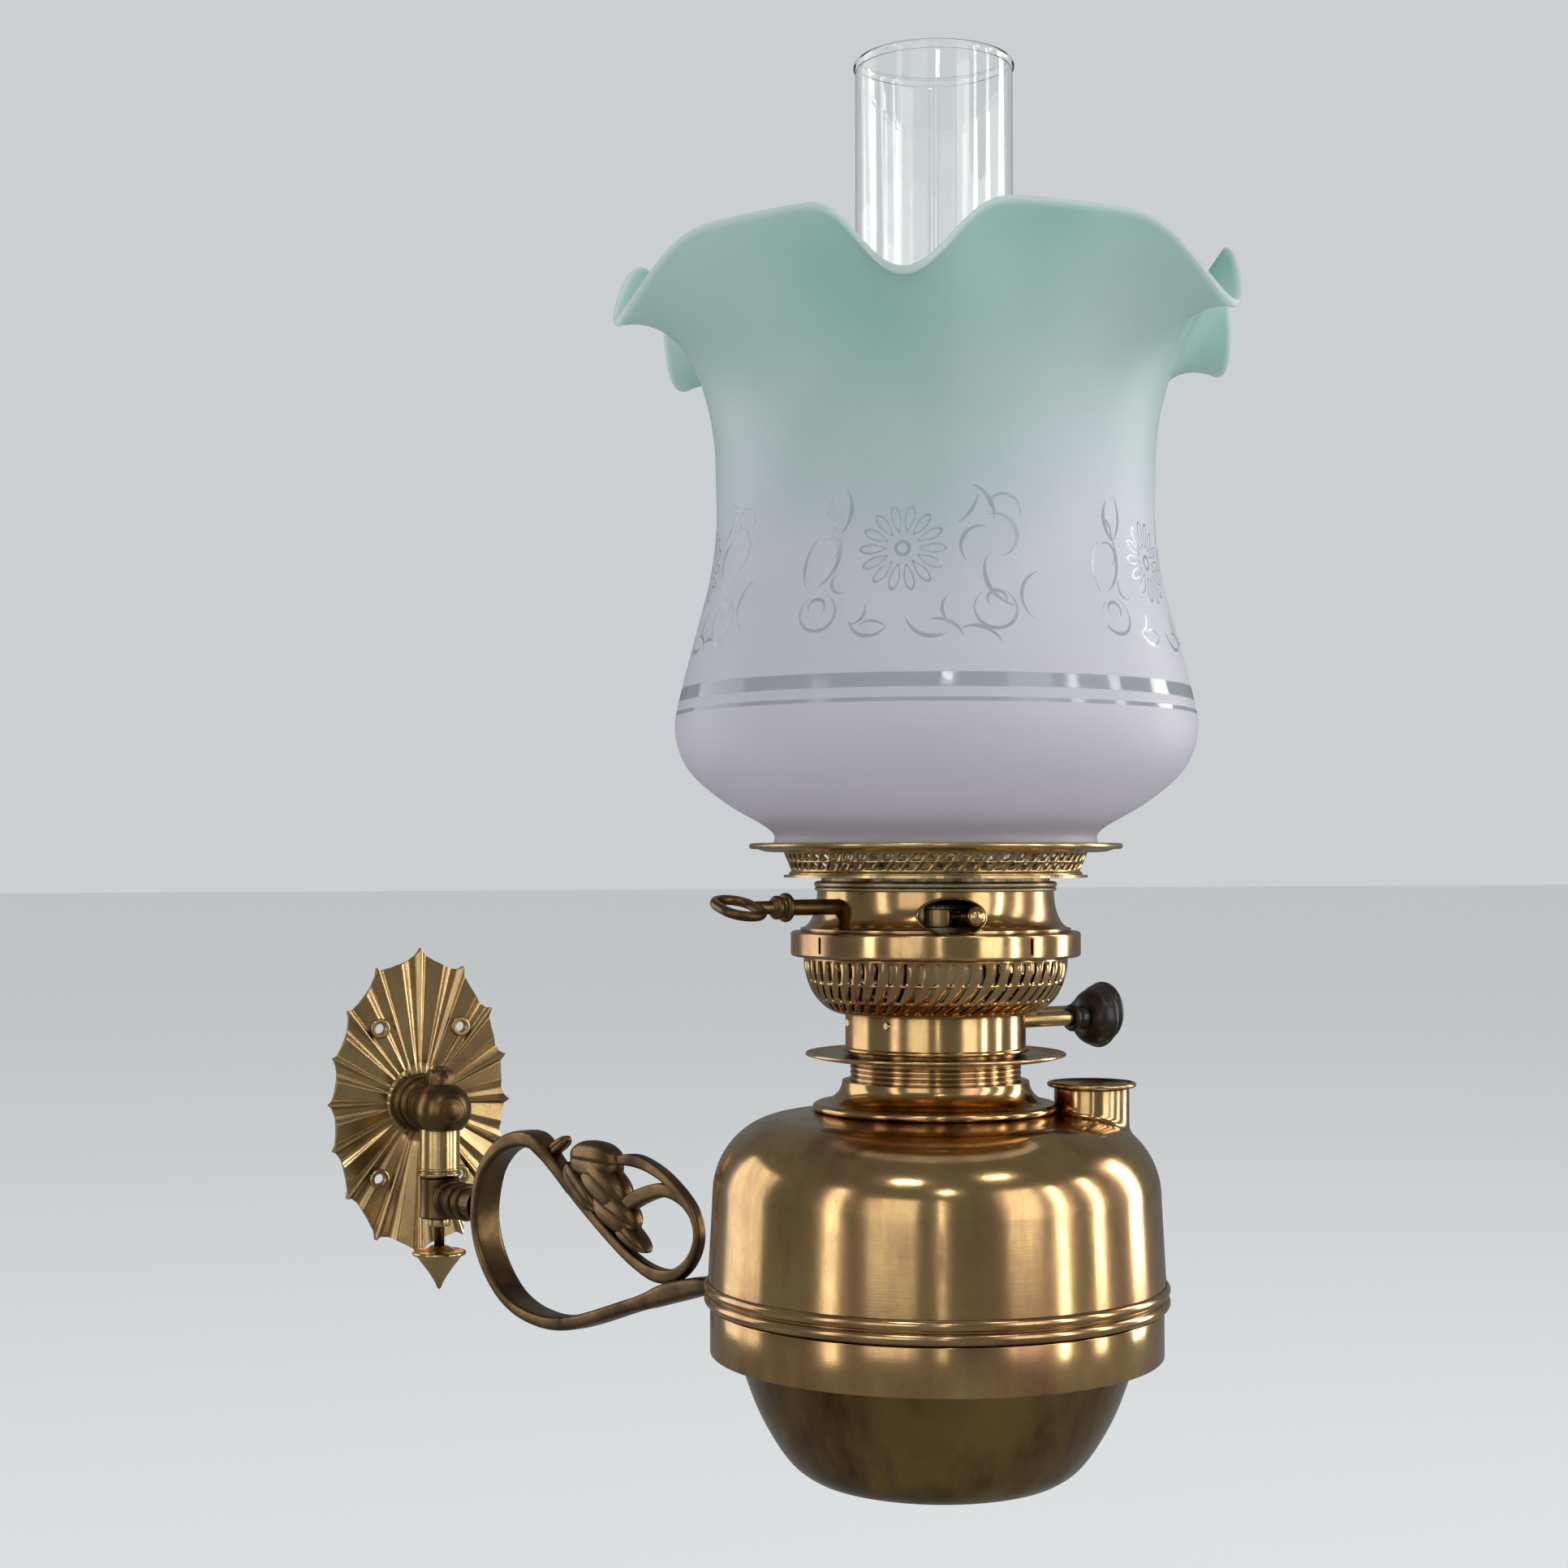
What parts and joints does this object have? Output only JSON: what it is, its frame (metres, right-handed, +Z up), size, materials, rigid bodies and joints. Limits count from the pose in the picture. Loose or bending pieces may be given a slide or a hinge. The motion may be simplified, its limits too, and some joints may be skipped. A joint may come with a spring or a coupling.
{
  "type": "wall oil lamp",
  "caption": "Wall oil lamp: pleated brass plate with a swivelling scroll arm, a round oil font, a twin-wick burner, a glass chimney and a ruffled glass shade.",
  "frame": {"origin": "centre of the wall plate's back face, on the wall", "axes": "+Y into the wall, +Z up, the lamp stands out towards -Y"},
  "size_m": [0.2162, 0.4038, 0.4407],
  "materials": {
    "old_brass": "aged brass with a soft shine",
    "bright_brass": "polished spun brass with brown tarnish",
    "bowl_brass": "dark polished brass",
    "dark_bronze": "cast brass gone dark brown",
    "pale_brass": "pale worn brass",
    "knob_black": "dark brown pressed knob, half matt",
    "wick_cotton": "woven cotton",
    "clear_glass": "clear blown glass",
    "frosted_glass": "acid-frosted glass with clear etched ornament and a green rim"
  },
  "bodies": {
    "wall_bracket": {"backplate": "old_brass", "wall_boss": "dark_bronze", "swivel_neck": "old_brass", "swivel_pin": "dark_bronze", "pin_nut": "dark_bronze", "pivot_washer": "old_brass", "finial": "old_brass"},
    "arm": {"knuckle": "dark_bronze", "scroll_arm": "dark_bronze", "carrying_ring": "bright_brass", "ring_rivets": "dark_bronze"},
    "font": {"tank_shell": "bright_brass", "tank_bead": "bright_brass", "tank_bowl": "bowl_brass", "neck_collar": "bright_brass", "filler_neck": "bright_brass", "drip_flange": "old_brass", "burner_base": "bright_brass", "burner_floor": "pale_brass", "burner_basket": "bright_brass", "burner_band": "bright_brass", "burner_skirt": "bright_brass", "window_eyelet": "old_brass", "neck_rings": "pale_brass", "key_bush": "dark_bronze", "wick_tube_near": "pale_brass", "wick_tube_far": "pale_brass", "lever_plate": "pale_brass"},
    "cap": {"filler_cap": "old_brass"},
    "near_winder": {"winder_shaft_near": "old_brass", "winder_knob_near": "knob_black", "wick_wheel_near": "pale_brass"},
    "far_winder": {"winder_shaft_far": "old_brass", "winder_knob_far": "knob_black", "wick_wheel_far": "pale_brass"},
    "near_wick": {"wick_near": "wick_cotton"},
    "far_wick": {"wick_far": "wick_cotton"},
    "lever": {"snuffer_lever": "old_brass"},
    "snuffer": {"snuffer_sleeve": "pale_brass"},
    "gallery": {"gallery_flange": "old_brass", "gallery_lattice": "old_brass", "gallery_floor": "old_brass", "gallery_sleeve": "pale_brass", "gallery_rack": "old_brass", "chimney_prongs": "old_brass", "flame_spreader": "old_brass"},
    "gallery_key": {"key_stem": "dark_bronze", "key_pinion": "old_brass", "key_bow": "dark_bronze"},
    "chimney_glass": {"chimney": "clear_glass"},
    "shade_glass": {"shade": "frosted_glass"}
  },
  "joints": [
    {"name": "arm_swivel", "type": "hinge", "parent": "wall_bracket", "child": "arm", "pos_m": [0, -0.03, -0.035], "axis": [0, 0, 1], "range_deg": [-85, 55]},
    {"name": "font_lift", "type": "slide", "parent": "arm", "child": "font", "axis": [0, 0, 1], "range_m": [0, 0.12]},
    {"name": "cap_lift", "type": "slide", "parent": "font", "child": "cap", "axis": [0, 0, 1], "range_m": [0, 0.006]},
    {"name": "near_winder_turn", "type": "hinge", "parent": "font", "child": "near_winder", "pos_m": [0.07598, -0.31758, 0.049], "axis": [0.9877, 0.1564, 0], "range_deg": [-67, 134]},
    {"name": "far_winder_turn", "type": "hinge", "parent": "font", "child": "far_winder", "pos_m": [0.07285, -0.29783, 0.049], "axis": [0.9877, 0.1564, 0], "range_deg": [-134, 67]},
    {"name": "near_wick_rise", "type": "slide", "parent": "font", "child": "near_wick", "axis": [0, 0, 1], "range_m": [-0.0039, 0.0079]},
    {"name": "far_wick_rise", "type": "slide", "parent": "font", "child": "far_wick", "axis": [0, 0, 1], "range_m": [-0.0039, 0.0079]},
    {"name": "lever_turn", "type": "hinge", "parent": "font", "child": "lever", "pos_m": [0.07441, -0.3077, 0.0824], "axis": [0, 0, 1], "range_deg": [-18, 0]},
    {"name": "snuffer_lift", "type": "slide", "parent": "font", "child": "snuffer", "axis": [0, 0, 1], "range_m": [0, 0.006]},
    {"name": "gallery_lift", "type": "slide", "parent": "font", "child": "gallery", "axis": [0, 0, 1], "range_m": [0, 0.014]},
    {"name": "key_turn", "type": "hinge", "parent": "font", "child": "gallery_key", "pos_m": [0.07441, -0.3077, 0.085], "axis": [0.9877, 0.1564, 0], "range_deg": [-1, 180]},
    {"name": "chimney_lift", "type": "slide", "parent": "gallery", "child": "chimney_glass", "axis": [0, 0, 1], "range_m": [0, 0.26]},
    {"name": "shade_lift", "type": "slide", "parent": "gallery", "child": "shade_glass", "axis": [0, 0, 1], "range_m": [0, 0.2]}
  ],
  "couplings": [
    {"joint": "near_winder_turn", "follows": "near_wick_rise", "rad_per_m": 294.12},
    {"joint": "far_winder_turn", "follows": "far_wick_rise", "rad_per_m": -294.12},
    {"joint": "lever_turn", "follows": "snuffer_lift", "rad_per_m": -52.356},
    {"joint": "key_turn", "follows": "gallery_lift", "rad_per_m": 222.22}
  ]
}
